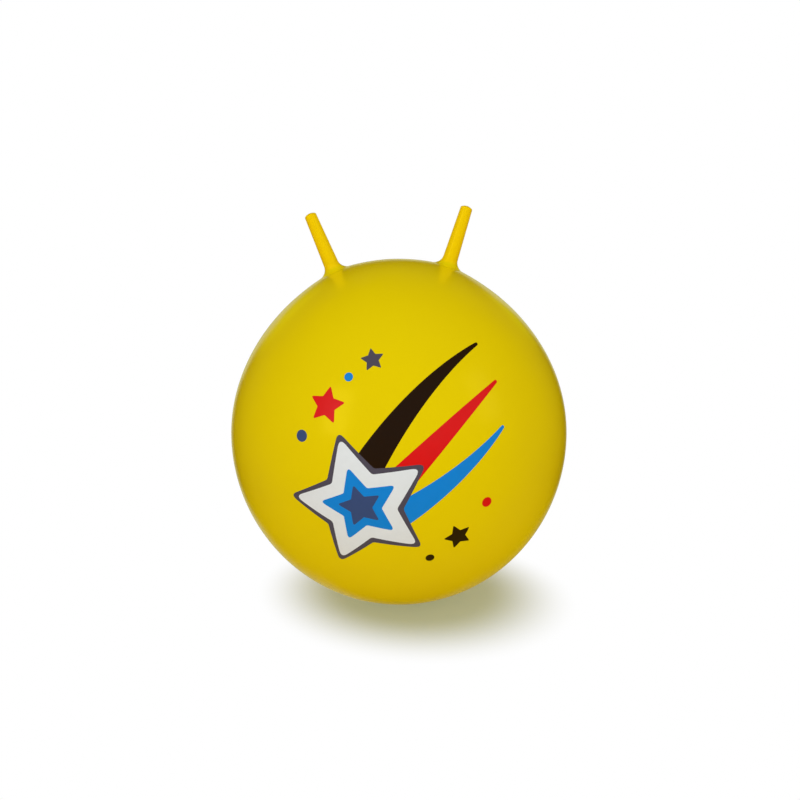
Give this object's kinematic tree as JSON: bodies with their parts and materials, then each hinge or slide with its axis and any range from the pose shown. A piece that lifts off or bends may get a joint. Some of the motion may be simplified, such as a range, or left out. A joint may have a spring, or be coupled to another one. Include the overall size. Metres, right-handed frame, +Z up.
{
  "type": "hopper ball",
  "caption": "Inflated, slightly oval hopper ball of soft PVC with two hollow, tapered horns to hold on to and a push-in valve plug at its back.",
  "frame": {"origin": "centre of the patch that the ball rests on, on the floor under the ball's middle", "axes": "+Z up through the ball's middle, between the horns; -Y out of the printed front; +Y out of the valve at the back; the horns lean towards -X and +X"},
  "size_m": [0.5, 0.4999, 0.5849],
  "materials": {
    "ball_pvc": "satin",
    "horn_pvc": "satin",
    "seat_pvc": "satin",
    "plug_plastic": "satin"
  },
  "bodies": {
    "ball": {"ball_shell": "ball_pvc", "horn_left": "horn_pvc", "horn_right": "horn_pvc", "valve_seat": "seat_pvc"},
    "plug": {"valve_plug": "plug_plastic"}
  },
  "joints": [
    {"name": "plug_pull", "type": "slide", "parent": "ball", "child": "plug", "axis": [0, 1, 0], "range_m": [0, 0.03]}
  ]
}
